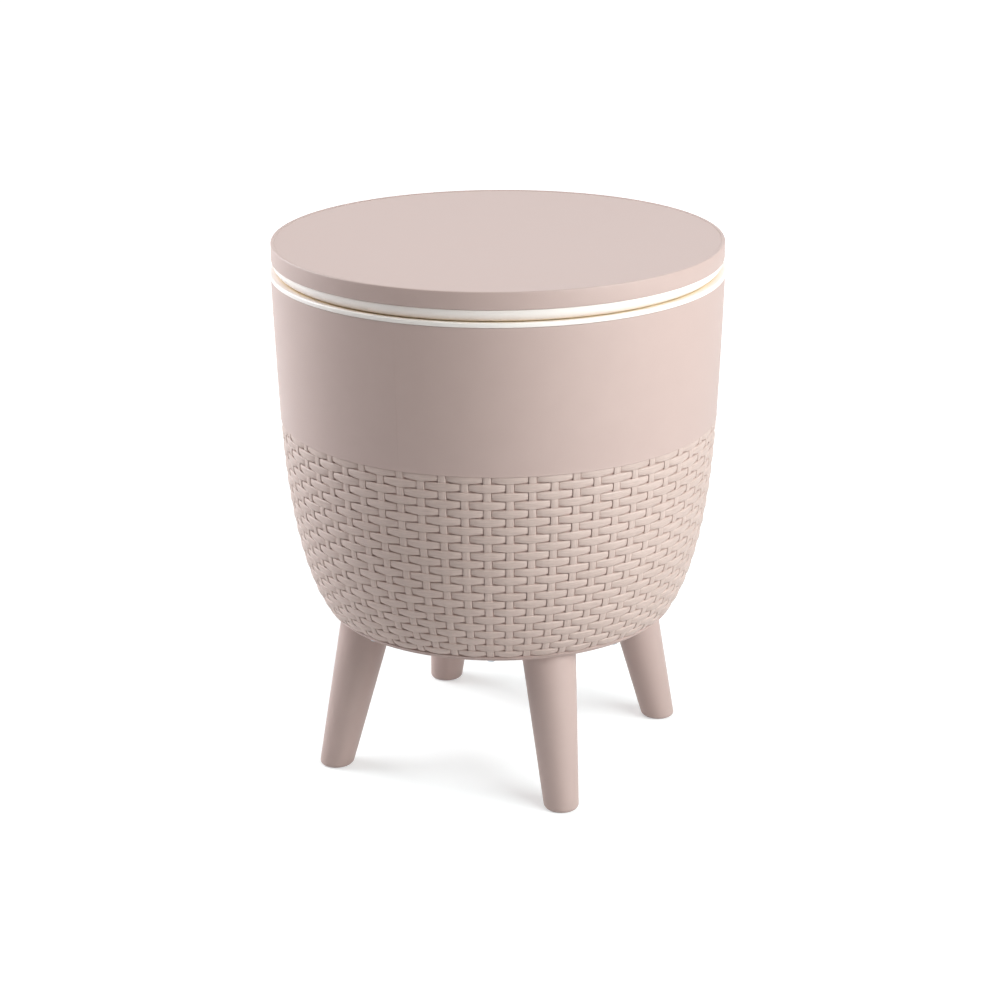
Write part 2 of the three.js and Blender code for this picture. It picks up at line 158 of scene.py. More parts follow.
def spread(grid, count, first):
    """Copies a grid round the axis, turned by first + 360 * k / count degrees for each k."""
    a = np.radians(first + 360 * np.arange(count) / count).reshape((-1,) + (1,) * (grid.ndim - 1))
    x, y, z = grid[..., 0], grid[..., 1], grid[..., 2]
    return np.stack([x * np.cos(a) - y * np.sin(a), x * np.sin(a) + y * np.cos(a), z + 0 * a], -1)

# %% [markdown]
# A flat ring with screw holes can't be turned in one go. Each hole gets a sector of the ring:
# a grid whose first and last rows follow the sector's border on the upper and lower face, and
# whose other rows are circles about the hole. Neighbouring sectors share their border points,
# and so do the turned parts on both sides of the ring, so everything closes without a gap.

# %% Sectors with a hole or a post
def drilled(inner, outer, count, centre, rows, steps=6):
    """A sector of a ring from the inner to the outer radius, one of count, about the angle 0.

    A row (None, z) is the border at the height z. A row (radius, z) is a circle about the point
    at the distance centre from the axis: centre + radius * (cos, sin) of the angle at which the
    border point is seen from there. A row (radius, z, other) has its middle somewhere else.
    """
    half = math.pi / count
    turn = np.linspace(-half, half, columns // count + 1)
    side = np.linspace(inner, outer, steps + 1)
    r = join([side, np.full(turn.size - 1, outer), side[-2::-1], np.full(turn.size - 1, inner)])
    a = join([np.full(side.size, -half), turn[1:], np.full(side.size - 1, half), turn[-2::-1]])
    border = np.stack([r * np.cos(a), r * np.sin(a)], -1)
    seen = np.arctan2(border[:, 1], border[:, 0] - centre)
    circle = np.stack([np.cos(seen), np.sin(seen)], -1)
    layers = []
    for radius, height, *other in rows:
        middle = other[0] if other else centre
        flat = border if radius is None else radius * circle + [middle, 0]
        layers.append(join([flat, np.full((r.size, 1), float(height))], -1))
    return np.stack(layers)

# %% [markdown]
# One function turns grids into a Blender object. It merges points that coincide, so seams and
# poles close, and gives the faces to Blender as whole arrays. Edges sharper than the crease
# angle stay crisp, and the rest is shaded smooth.

# %% Surfaces to objects
def shown_as(name, data):
    """A new object in the scene for a mesh, a lamp or a camera."""
    made = bpy.data.objects.new(name, data)
    bpy.context.scene.collection.objects.link(made)
    return made


def make_piece(name, patches, material, *nodes, body="table", crease=35):
    """Makes one object of grids of points in millimetres, in place of those solids.

    A grid is rows x columns x 3, with more axes in front for copies, or a pair of such a grid
    and its UV chart. Four neighbouring points span a face. Points in the same cubic micrometre
    become one; a face that loses a corner there becomes a triangle. The micrometres are counted
    from beyond every piece, with a shift that keeps round sizes off their borders.
    """
    beyond = 400
    shift = 0.317
    corners, places, charts, used = [], [], [], 0
    for patch in patches:
        points, chart = patch if isinstance(patch, tuple) else (patch, None)
        i = used + np.arange(points[..., 0].size).reshape(points.shape[:-1])
        quads = [i[..., :-1, :-1], i[..., :-1, 1:], i[..., 1:, 1:], i[..., 1:, :-1]]
        corners.append(np.stack(quads, -1).reshape(-1, 4))
        places.append(points.reshape(-1, 3))
        charts.append(np.zeros((i.size, 2)) if chart is None else chart.reshape(-1, 2))
        used += i.size
    corners, places, charts = (join(part) for part in (corners, places, charts))
    steps = np.round((places + beyond) * 1000 + shift).astype(np.int64)
    keys = (steps[:, 0] << 40) | (steps[:, 1] << 20) | steps[:, 2]
    first, same = np.unique(keys, return_index=True, return_inverse=True)[1:]
    merged = same[corners]
    kept = merged != np.roll(merged, 1, axis=1)
    sides = kept.sum(axis=1)
    kept &= (sides > 2)[:, None]
    shown, loops = np.unique(merged[kept], return_inverse=True)

    mesh = bpy.data.meshes.new(name)
    mesh.vertices.add(shown.size)
    mesh.vertices.foreach_set("co", (places[first[shown]] / 1000).astype(np.float32).ravel())
    mesh.loops.add(loops.size)
    mesh.loops.foreach_set("vertex_index", loops.astype(np.int32))
    sides = sides[sides > 2]
    mesh.polygons.add(sides.size)
    mesh.polygons.foreach_set("loop_start", (np.cumsum(sides) - sides).astype(np.int32))
    if any(isinstance(patch, tuple) for patch in patches):
        layer = mesh.uv_layers.new(name="UVMap")
        layer.uv.foreach_set("vector", charts[corners[kept]].astype(np.float32).ravel())
    mesh.update(calc_edges=True)
    mesh.validate()
    mesh.shade_smooth()
    mesh.set_sharp_from_angle(angle=math.radians(crease))
    mesh.materials.append(material)
    made = shown_as(name, mesh)
    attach(made, body)
    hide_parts(*nodes)
    triangles = int((sides - 2).sum())
    print(f"{name}: {shown.size} points, {triangles} triangles")

# %% [markdown]
# Colours are picked as sRGB values, the ones a colour picker shows. Blender's shaders work in
# linear light, so one function does that step for all of them. A second small function adds
# a shader node with its settings, its values and its links. The others make what the materials
# share: noise of a real size, a mix of two colours, ranges of a value, and a bump.


def linear(code):
    """A linear RGBA colour from an sRGB hex value, by the sRGB curve."""
    srgb = np.array([int(code[i:i + 2], 16) for i in (1, 3, 5)]) / 255
    light = np.where(srgb <= 0.04045, srgb / 12.92, ((srgb + 0.055) / 1.055) ** 2.4)
    return (*light.tolist(), 1.0)


def add(tree, kind, inputs=None, **settings):
    """Adds a node. An input is set to a plain value, or linked where the value is a socket."""
    made = tree.nodes.new("ShaderNode" + kind)
    for key, value in settings.items():
        setattr(made, key, value)
    for key, value in (inputs or {}).items():
        if isinstance(value, bpy.types.NodeSocket):
            tree.links.new(value, made.inputs[key])
        else:
            made.inputs[key].default_value = value
    return made


def finish(name, slot, where="Object", **values):
    """A new material, with plain values set on its shader. The slot argument is not used.

    It comes with its node tree and the coordinates that its textures use.
    """
    material = bpy.data.materials.new(name)
    material.use_nodes = True
    tree = material.node_tree
    for key, value in values.items():
        tree.nodes["Principled BSDF"].inputs[key.replace("_", " ")].default_value = value
    return material, tree, add(tree, "TexCoord").outputs[where]


def per_metre(size):
    """The scale of a texture whose features are that many millimetres across."""
    return 1000 / size


def noise(tree, place, size, detail):
    """Smooth noise whose features are that many millimetres across."""
    inputs = {"Vector": place, "Scale": per_metre(size), "Detail": detail}
    return add(tree, "TexNoise", inputs).outputs["Fac"]


def mixed(tree, share, first, second, blend="MIX"):
    """A colour from the first to the second by a share. Each is an sRGB hex value or a socket.

    A Mix node has sockets for numbers and vectors too; 6 and 7 are those of its two colours.
    """
    first, second = [linear(part) if isinstance(part, str) else part for part in (first, second)]
    inputs = {"Factor": share, 6: first, 7: second}
    return add(tree, "Mix", inputs, data_type="RGBA", blend_type=blend).outputs[2]


def ramp(tree, value, low, high, start=0.0, end=1.0, kind="LINEAR"):
    """Goes from low to high while the value goes from start to end."""
    inputs = {"Value": value, "From Min": start, "From Max": end, "To Min": low, "To Max": high}
    return add(tree, "MapRange", inputs, interpolation_type=kind).outputs["Result"]


def seen_by(tree, *kinds):
    """1 for rays of these kinds and 0 for all others."""
    path = add(tree, "LightPath").outputs
    found = path[f"Is {kinds[0]} Ray"]
    for kind in kinds[1:]:
        inputs = {0: found, 1: path[f"Is {kind} Ray"]}
        found = add(tree, "Math", inputs, operation="MAXIMUM").outputs[0]
    return found


def dress(tree, colour, height, depth, strength, roughness=None):
    """Gives a shader its colour and its bump, whose depth is in metres, and its roughness."""
    shader = tree.nodes["Principled BSDF"].inputs
    inputs = {"Height": height, "Distance": depth, "Strength": strength}
    tree.links.new(colour, shader["Base Color"])
    tree.links.new(add(tree, "Bump", inputs).outputs["Normal"], shader["Normal"])
    if roughness is not None:
        tree.links.new(roughness, shader["Roughness"])

# %% [markdown]
# The taupe parts are polypropylene, injection-moulded in steel whose surface was spark-eroded.
# That leaves a fine, even grain of about a third of a millimetre, so the plastic looks satin:
# the highlights are broad and soft and nothing mirrors. The colour is mixed into the plastic,
# so it hardly varies; only a faint cloudiness shows where the melt cooled at its own pace.

# %% Satin polypropylene
satin, tree, place = finish("satin_polypropylene", "taupe_plastic", IOR=1.49)
cloud = noise(tree, place, 22, 3.0)
taupe = mixed(tree, cloud, "#b99f98", "#bda39c")
grain_size = 0.35
grain = noise(tree, place, grain_size, 2.0)
dress(tree, taupe, grain, 0.00002, 0.5, ramp(tree, cloud, 0.43, 0.5))
print("Satin polypropylene grain:", round(per_metre(grain_size)), "cells per metre")

# %% [markdown]
# The woven lower half is the same plastic in the same mould, but there the steel was engraved
# to look like peeled rattan: every strand has fine lengthwise fibres. The fibres follow each
# strand, so their noise reads the strand's own UV chart, in millimetres along and across, and
# is stretched along it. Every strand lies elsewhere on the chart, so no two are alike.

# %% Rattan relief
rattan, tree, chart = finish("rattan_relief_polypropylene", "taupe_plastic", "UV", Roughness=0.5, IOR=1.49)
fibre_length = 16
fibre_width = 0.9
strand_size = 60
fibre_scale = (1 / fibre_length, 1 / fibre_width, 1.0)
along = add(tree, "Mapping", {"Vector": chart, "Scale": fibre_scale}).outputs["Vector"]
fibre = add(tree, "TexNoise", {"Vector": along, "Scale": 1.0, "Detail": 3.0, "Roughness": 0.6})
fibre = fibre.outputs["Fac"]
strand = add(tree, "TexNoise", {"Vector": chart, "Scale": 1 / strand_size, "Detail": 0.0})
fibre_colour = mixed(tree, fibre, "#ab938b", "#dec5bc")
strand_shade = mixed(tree, strand.outputs["Fac"], "#f4f3f2", "#ffffff")
dress(tree, mixed(tree, 1.0, fibre_colour, strand_shade, "MULTIPLY"), fibre, 0.0003, 0.8)
print("Rattan fibres:", fibre_width, "mm apart and about", fibre_length, "mm long")

# %% [markdown]
# The bucket, the underside of the lid and the drain are polypropylene too, but white and moulded
# in polished steel: smooth, with a softly gleaming highlight. Polished mouldings still show a
# slight waviness, the orange peel, a few millimetres across. Light also travels a few
# millimetres through this plastic and comes out yellower, and little other light gets into the
# groove where the lid meets the rim. That warm shade is painted: there the base colour turns to
# cream, by the distance from the groove: up the lid's wall it fades four times as fast as along
# the rim.

# %% Gloss polypropylene
gloss, tree, place = finish("gloss_polypropylene", "white_plastic", IOR=1.49)
groove_radius = 198
groove_steepness = 4.0
peel_size = 4
groove_place = (groove_radius / 1000, 0.0, groove_steepness * (seat_height + gap) / 1000)
cloud = noise(tree, place, 30, 2.0)
white = mixed(tree, cloud, "#f3e6df", "#f6ebe6")
axes = add(tree, "SeparateXYZ", {"Vector": place}).outputs
plan = add(tree, "CombineXYZ", {"X": axes["X"], "Y": axes["Y"]})
radius = add(tree, "VectorMath", {0: plan.outputs[0]}, operation="LENGTH").outputs["Value"]
steep = add(tree, "Math", {0: axes["Z"], 1: groove_steepness}, operation="MULTIPLY").outputs[0]
here = add(tree, "CombineXYZ", {"X": radius, "Z": steep}).outputs[0]
groove = add(tree, "VectorMath", {0: here, 1: groove_place}, operation="DISTANCE")
# Painted shade: the base colour turns to cream near the groove where the lid meets the rim.
painted_groove_cream = ramp(tree, groove.outputs["Value"], 1.0, 0.0, 0.003, 0.013, "SMOOTHSTEP")
peel = noise(tree, place, peel_size, 1.0)
dress(tree, mixed(tree, painted_groove_cream, white, "#eedbba"), peel, 0.00003, 0.4, ramp(tree, cloud, 0.3, 0.37))
print("Gloss polypropylene: orange peel of", peel_size, "mm")

# %% [markdown]
# The screws are steel with a bright zinc plate, a metal with a faint blue cast. Plated parts are
# tumbled, so their shine is broken by small dull spots, about a millimetre across. The washer
# is EPDM rubber, nearly black and matt, with the fine texture that talc leaves in the mould.

# %% Zinc-plated steel and rubber
zinc, tree, place = finish("zinc_plated_steel", "zinc_steel", Metallic=1.0)
spots = noise(tree, place, 1.1, 3.0)
plate = mixed(tree, spots, "#b3b9c2", "#c9ccd0")
dress(tree, plate, spots, 0.00002, 0.3, ramp(tree, spots, 0.22, 0.45))

rubber, tree, place = finish("epdm_rubber", "seal_rubber", IOR=1.5)
talc = noise(tree, place, 0.5, 3.0)
black = mixed(tree, talc, "#262627", "#323233")
dress(tree, black, talc, 0.00005, 0.4, ramp(tree, talc, 0.7, 0.9))
print("Materials:", [material.name for material in bpy.data.materials])

# %% [markdown]
# The lid's top is a flat disc with a plain skirt. A low edge runs round its face, so that a
# spilled drop stays on the table. Six bosses under it take the screws of the white pan. It is
# turned from one outline, apart from the ring that carries the bosses.

# %% Lid top
lid_screw_circle = mouth_radius - 39.5
lid_ring = (lid_screw_circle - 15, lid_screw_circle + 15)
skirt_inside = lid_radius - wall
pan_bottom = seat_height - 18
well_ceiling = pan_bottom + 6
well_top = well_ceiling + plate_wall
lid_boss_bottom = well_top + gap
lid_outline = rounded([
    (lid_ring[1], lid_underside, 0), (skirt_inside, lid_underside, 1.5), (skirt_inside, lid_bottom, 0.4),
    (lid_radius, lid_bottom, 0.5), (lid_radius, lid_top_height, 1.2),
    (lid_radius - 2.8, lid_top_height, 0.25), (lid_radius - 3.4, lid_face, 0.25), (0, lid_face, 0),
])
lid_pilot_top = lid_boss_bottom + pilot_depth
lid_boss = drilled(*lid_ring, 6, lid_screw_circle, [
    (0, lid_pilot_top), (pilot_radius, lid_pilot_top), (pilot_radius, lid_boss_bottom),
    (boss_radius, lid_boss_bottom), (boss_radius, lid_underside), (None, lid_underside),
])
lid_middle = turned([(0, lid_underside), (lid_ring[0], lid_underside)])
lid_parts = [lid_middle, spread(lid_boss, 6, 0), turned(lid_outline)]
make_piece("lid_top_disc", lid_parts, satin, "lid_top", body="lid")

# %% [markdown]
# The white pan closes the lid from below and keeps the cold in. Its edge is a thin upright lip
# right under the skirt, which catches the light as a bright line. From there it curves in to
# the seat on the bucket's rim, and a plug reaches down into the mouth. Each screw sits in a
# round well, out of the way of the ice.

# %% Lid pan
pan_floor_top = pan_bottom + plate_wall
pan_top = lid_bottom - gap
pan_lip = pan_top - 1.7
pan_radius = lid_radius - 1
ring_top = pan_top + 7
ring_outside = skirt_inside - gap
ring_inside = ring_outside - plate_wall
well_radius = 6
flare_top = (seat_radius, pan_lip)
flare_height = pan_lip - seat_height
flare = arc(flare_top, pan_radius - 0.5 - seat_radius, flare_height, -90, 0, 16)
flare_inside = arc(flare_top, ring_inside - seat_radius, flare_height - plate_wall, 0, -90, 10)
pan_outline = join([
    rounded([(lid_ring[1], pan_bottom, 0), (mouth_radius - 3.3, pan_bottom, 6),
             (mouth_radius - 2, seat_height, 0.8), (mouth_radius + 0.5, seat_height, 0)]),
    flare,
    rounded([(pan_radius - 0.3, pan_lip, 0), (pan_radius, pan_lip, 0.2), (pan_radius, pan_top, 0.3),
             (ring_outside, pan_top, 0.4), (ring_outside, ring_top, 0.5), (ring_inside, ring_top, 0.5),
             (ring_inside, pan_lip + 0.6, 0)]),
    flare_inside,
    rounded([(mouth_radius + 0.5, seat_height + plate_wall, 0),
             (mouth_radius - 4.3, seat_height + plate_wall, 1),
             (mouth_radius - 10.5, pan_floor_top, 4), (lid_ring[1], pan_floor_top, 0)]),
])
well_outside = well_radius + 2
well = drilled(*lid_ring, 6, lid_screw_circle, [
    (None, pan_floor_top), (well_outside, pan_floor_top), (well_outside, well_top - 0.5),
    (well_outside - 0.5, well_top), (screw_hole, well_top), (screw_hole, well_ceiling),
    (well_radius - 0.6, well_ceiling), (well_radius, well_ceiling - 0.6), (well_radius, pan_bottom + 0.5),
    (well_radius + 0.15, pan_bottom + 0.15), (well_radius + 0.5, pan_bottom), (None, pan_bottom),
])
pan_parts = [
    turned([(0, pan_bottom), (lid_ring[0], pan_bottom)]), spread(well, 6, 0), turned(pan_outline),
    turned([(lid_ring[0], pan_floor_top), (0, pan_floor_top)]),
]
make_piece("lid_pan_tray", pan_parts, gloss, "lid_pan", body="lid")

# %% [markdown]
# The liner is the ice bucket itself. It hangs from its lip on the shell's top edge: the lip's
# white edge shows as a band four millimetres high, and a ring below it keeps the bucket centred.
# Its wall runs down nearly straight and turns in to a flat floor with the drain hole.

# %% Liner
liner_wall = 2.8
floor_radius = plate_radius - 45.2
floor_bottom = plate_top + 17
floor_top = floor_bottom + liner_wall
spout_hole = 12.8
waist = np.array([mouth_radius + liner_wall - 3.5, weave_top[1]])
web_bottom = rim_height - 2.6
guide_outside = shell_rim[0] - wall - 0.8
guide_inside = guide_outside - 2.5
guide_bottom = lip_bottom - 8
bowl_outside = bezier([
    (floor_radius, floor_bottom), (floor_radius + 47.4, floor_bottom), waist - [3.5, 105.5], waist,
], 28)
bowl_inside = beside(bowl_outside, liner_wall)[::-1]
liner_outline = join([
    rounded([(spout_hole, floor_bottom, 0), (floor_radius, floor_bottom, 0)]),
    bowl_outside,
    rounded([(*waist, 0), (mouth_radius + liner_wall, web_bottom, 1.5), (guide_inside, web_bottom, 1),
             (guide_inside, guide_bottom, 0.5), (guide_outside, guide_bottom, 0.5),
             (guide_outside, lip_bottom, 0.4), (lip_radius, lip_bottom, 0.5), (lip_radius, lip_top, 1.2),
             (seat_radius, rim_height, 2), (mouth_radius, rim_height, 1),
             (waist[0] - liner_wall, waist[1], 0)]),
    bowl_inside,
    rounded([(floor_radius, floor_top, 0), (spout_hole, floor_top, 0.5), (spout_hole, floor_bottom, 0)]),
])
make_piece("liner_bucket", [turned(liner_outline)], gloss, "liner")

# %% [markdown]
# The outer shell is one moulding. Its bowl is a free curve through the crests of the weave. The
# curve is measured along its length, from the top of the weave down, because the rows of the
# weave are spaced along it. The smooth band above it widens a little towards the rim.

# %% The bowl's curve, measured along its length
bowl_size = weave_top - shell_foot
bowl_curve = bezier([
    weave_top, weave_top - bowl_size * [0.11, 0.56], shell_foot + bowl_size * [0.43, 0.12], shell_foot,
], 400)
bowl_lengths = join([[0], np.cumsum(np.linalg.norm(np.diff(bowl_curve, axis=0), axis=1))])
bowl_normals = beside(bowl_curve, 1) - bowl_curve
bowl_length = bowl_lengths[-1]


def on_bowl(length, depth):
    """Radius and height at a length down the bowl's curve, moved by depth along its normal."""
    found = [np.interp(length, bowl_lengths, part) for part in (*bowl_curve.T, *bowl_normals.T)]
    return found[0] + depth * found[2], found[1] + depth * found[3]


print("Length of the bowl's curve:", round(bowl_length, 2), "mm")

# %% [markdown]
# The shell's wall is turned from one outline: under the weave it lies deeper, at the rim below
# the last row and at the small ridge above the first row it comes out again. Eight bosses
# inside the foot take the screws of the base plate. The seams where the mould's halves met
# show as two hair-fine upright ridges on the smooth band.

# %% Shell wall
core_depth = -2.8
weave_end = 191.1
rim_band = bowl_length - weave_end
shell_screw_circle = plate_radius - 6.2
shell_ring = (shell_screw_circle - 5.4, shell_screw_circle + 5.4)
flange_inside = shell_foot[0] - 15
flange_top = shell_bottom + wall
shell_boss_top = shell_bottom + 15
shell_pilot_top = plate_bottom + gap + pilot_depth
lower_rim = np.stack(on_bowl(np.linspace(bowl_length, bowl_length - rim_band + 0.3, 4), 0.0), -1)
core = np.stack(on_bowl(np.linspace(bowl_length - rim_band, 0.25, 60), core_depth), -1)
band = bezier([weave_top, (weave_top + shell_rim) / 2 + [0.7, 0], shell_rim], 24)
ridge = np.array([[-0.1, -0.1], [0.1, 0.05], [0.2, 0.4], [0.2, 0.8], [0.1, 1.3], [0.05, 1.8]]) + weave_top
inside = join([
    beside(band, wall)[::-1][1:],
    np.stack(on_bowl(np.linspace(3, bowl_length - 9, 40), -4.6), -1),
])
shell_outline = join([
    [(shell_ring[1], shell_bottom)], lower_rim, core, ridge, band[band[:, 1] > weave_top[1] + 2],
    [(shell_rim[0] - wall, shell_rim[1])], inside, [(shell_ring[1], flange_top)],
])
shell_boss = drilled(*shell_ring, 8, shell_screw_circle, [
    (None, flange_top), (boss_radius, flange_top), (boss_radius, shell_boss_top), (0, shell_boss_top),
    (0, shell_pilot_top), (pilot_radius, shell_pilot_top), (pilot_radius, shell_bottom),
    (None, shell_bottom),
], steps=2)
flange_edge = turned([
    (shell_ring[0], flange_top), (flange_inside, flange_top), (flange_inside, shell_bottom),
    (shell_ring[0], shell_bottom),
])
print("Points in the shell's outline:", len(shell_outline))

# %% Mould seams on the band
def seam(angle, width=0.34, proud=0.07):
    """A hair-fine ridge up the band: a low arch of that width, closed behind in the wall."""
    across = np.array([-0.5, -0.3, 0.0, 0.3, 0.5, -0.5]) * width
    out = np.array([-0.3, 0.7 * proud, proud, 0.7 * proud, -0.3, -0.3])
    line = band[(band[:, 1] > weave_top[1] + 1) & (band[:, 1] < shell_rim[1] - 1)]
    grid = np.stack([line[:, :1] + out, np.ones_like(line[:, :1]) * across, line[:, 1:] + 0 * out], -1)
    bottom, top = (end.mean(axis=1, keepdims=True) + 0 * end for end in (grid[:1], grid[-1:]))
    return spread(join([bottom, grid, top]), 1, angle)


shell_parts = [turned(shell_outline), spread(shell_boss, 8, 22.5), flange_edge, seam(270), seam(90)]
make_piece("outer_shell_wall", shell_parts, satin, "outer_shell")

# %% [markdown]
# The weave has 23 rows of strands and 64 upright stakes. In each row a strand arches over every
# second stake and dives under the next, and the rows alternate. The mould can't undercut, so
# a strand is really an island: highest over its stake, falling off to both ends, and ending
# just short of the neighbouring stakes. All 736 strands are worked out at once as one array.

# %% Rows of the weave
row_count = 23
stake_count = 64
first_lower = 7
first_pitch = 8.09
row_step = 8.1
row_growth = 0.012
number = np.arange(row_count)
row_lower = first_lower + row_step * number + row_growth * number ** 2
row_upper = join([[first_lower - first_pitch], row_lower[:-1]])
row_middle = (row_upper + row_lower) / 2
row_pitch = row_lower - row_upper
row_radius = on_bowl(row_middle, 0.0)[0]
stake_pitch = np.radians(360 / stake_count)
stake_width = 6.95
slot_width = 0.32
weave_start = 0.35
chart_size = 4000
print("Row pitch from", round(row_pitch[0], 2), "to", round(row_pitch[-1], 2), "mm")

# %% Strands
def weave_strands():
    """The strands as an array of rows x strands x stations x ring x 3, and their UV charts.

    Along a strand, t runs from -1 to 1. The crest falls off as 1.05 t^2, and to 1.6 mm over the
    last 0.7 mm, which rounds the ends. Both edges bend towards the strand's middle line at its
    ends, the lower one more: they lie at pitch / 2 - 0.06 - 0.4 s and -(pitch / 2 + 0.15 - 1.7 s)
    with s = (1 - cos(pi x / stake pitch)) / 2, and the four corners are cut by up to 0.25 mm.
    A ring of ten points across gives the crowned face and the rounded edges.
    """
    count = stake_count // 2
    half = (row_radius * stake_pitch * 2 - stake_width - 2 * slot_width) / 2
    half = half[:, None, None]
    inset = np.array([0.0, 0.2, 0.7])
    ends = 1 - inset / half
    middle = np.array([0.55, 0.0]) + 0 * half
    t = join([ends, middle], -1)
    t = join([-t, t[..., -2::-1]], -1)[..., None]
    crown = 1.05
    fall = np.array([1.6, 1.25, crown])
    crest = join([fall + 0 * half, crown * middle ** 2], -1)
    crest = -join([crest, crest[..., -2::-1]], -1)[..., None]
    corner = np.array([0.25, 0.08, 0.0, 0.0, 0.0, 0.0, 0.0, 0.08, 0.25])[:, None]
    x = t * half[..., None]
    parts = (row_middle, row_pitch, row_radius, 1 - number % 2)
    row, pitch, radius, odd = (part[:, None, None, None] for part in parts)
    rise = 0.5 - 0.5 * np.cos(np.pi * x / (radius * stake_pitch))
    upper = pitch / 2 - 0.06 - 0.4 * rise - corner
    lower = pitch / 2 + 0.15 - 1.7 * rise - corner
    ring_side = np.array([-1, -1, -1, -1, -1, 1, 1, 1, 1, 1])
    ring_inset = np.array([0.0, 0.0, 0.3, 0.9, 2.0, 2.0, 0.9, 0.3, 0.0, 0.0])
    ring_fall = np.array([3.0, 0.9, 0.5, 0.2, 0.0, 0.0, 0.2, 0.5, 0.9, 3.0])
    y = ring_side * (np.where(ring_side > 0, upper, lower) - ring_inset)
    depth = np.maximum(crest - ring_fall, core_depth - 0.5)
    r, z = on_bowl(np.clip(row - y, weave_start, bowl_length), depth)
    order = np.arange(count)[None, :, None, None]
    centre = (2 * order + odd) * stake_pitch
    angle = centre + x / radius
    chance = np.random.default_rng(7).uniform(0, chart_size, (row_count, count, 1, 1, 2))
    chart = np.stack(np.broadcast_arrays(x + 0 * angle, y + 0 * angle), -1) + chance
    return polar(r, angle, z), chart


strands = weave_strands()
print("Strands:", math.prod(strands[0].shape[:2]))

# %% [markdown]
# A tube of ten points would be open at its ends. The ends are closed with four faces each,
# and the ring is closed by repeating its first point, so every strand is a watertight island.

# %% Strands as a piece
def closed_tube(grid, chart):
    """Grids that close a tube: the ring's first point again at its end, and a cap at each end.

    A cap pairs the ring's points from both sides: first with last, second with last but one
    and so on, which makes a strip of four-sided faces across the opening.
    """
    parts = []
    for part in (grid, chart):
        half = part.shape[-2] // 2
        ring = join([part, part[..., :1, :]], -2)
        start = np.stack([part[..., 0, :half, :], part[..., 0, :half - 1:-1, :]], -3)
        end = np.stack([part[..., -1, :half - 1:-1, :], part[..., -1, :half, :]], -3)
        parts.append([ring, start, end])
    return list(zip(*parts))


make_piece("weave_strands", closed_tube(*strands), rattan, "outer_shell", crease=50)

# %% [markdown]
# The stakes run down between the strands' ends. Where a stake shows, its face lies a little
# below the strands' crests; where a strand crosses it, it ducks under. One strip of eight
# points across and five stations to a row is enough for that gentle wave.

# %% Stakes
def weave_stakes():
    """The stakes as an array of stakes x stations x ring x 3, and their UV charts.

    Down the bowl, the depth of a stake's face is 0.65 mm where it shows, 1.7 mm under a strand
    and 1.15 mm at the rows' borders. Across, the ring has rounded edges like a strand's.
    """
    share = np.array([0.0, 0.14, 0.3, 0.7, 0.86])
    lengths = (row_upper[:, None] + share * row_pitch[:, None]).ravel()
    lengths = join([lengths, row_lower[-1:]])
    border = 1.15
    shown = np.tile([border, 0.8, 0.65, 0.65, 0.8], row_count)
    hidden = np.tile([border, 1.55, 1.7, 1.7, 1.55], row_count)
    row = np.repeat(number, share.size)
    stakes = np.arange(stake_count)[:, None]
    above = (row % 2) == (1 - stakes % 2)
    face = np.where(above, hidden, shown)
    face = join([face, np.full((stake_count, 1), border)], 1)
    ring_side = np.array([-1, -1, -1, -1, 1, 1, 1, 1])
    ring_inset = np.array([0.0, 0.0, 0.2, 0.6, 0.6, 0.2, 0.0, 0.0])
    ring_fall = np.array([2.6, 0.42, 0.14, 0.0, 0.0, 0.14, 0.42, 2.6])
    width = stake_width - 0.3 * lengths / bowl_length
    x = ring_side * (width[:, None] / 2 - ring_inset)
    depth = np.maximum(-face[..., None] - ring_fall, core_depth - 0.6)
    span = np.clip(lengths, weave_start, bowl_length - rim_band)[None, :, None]
    r, z = on_bowl(span + 0 * depth, depth)
    angle = stakes[..., None] * stake_pitch + x / on_bowl(span, 0.0)[0]
    chance = np.random.default_rng(11).uniform(0, chart_size, (stake_count, 1, 1, 2))
    chart = np.stack(np.broadcast_arrays(span + 0 * angle, x + 0 * angle), -1) + chance
    return polar(r, angle, z), chart


make_piece("weave_stakes", closed_tube(*weave_stakes()), rattan, "outer_shell", crease=50)

# %% [markdown]
# The base plate closes the shell from below. Its rounded edge shows as a thin bead under the
# weave. Four slanted cups reach down into the legs' open tops and take the leg screws, a tower
# in the middle carries the bucket's floor, and ribs stiffen the plate.

# %% The leg's line and taper
leg_inset = 30.2
leg_splay = 35.5
leg_foot_circle = plate_radius - leg_inset + leg_splay
leg_slope = -leg_splay / plate_bottom
leg_foot_radius = 16.2
leg_top_radius = 25.6


def leg_centre(height):
    """How far the leg's middle is from the axis: a straight line that leans inwards."""
    return leg_foot_circle + leg_slope * height


def leg_radius(height):
    """The leg's radius: a straight taper from the foot to the top."""
    return leg_foot_radius + (leg_top_radius - leg_foot_radius) * height / leg_top


def cup_radius(height):
    """The radius of the cup that reaches down into the leg, with play all round."""
    return leg_radius(height) - wall - 1.5


print("Leg's middle at the floor and at the plate:", leg_centre(0), round(leg_centre(plate_bottom), 2))

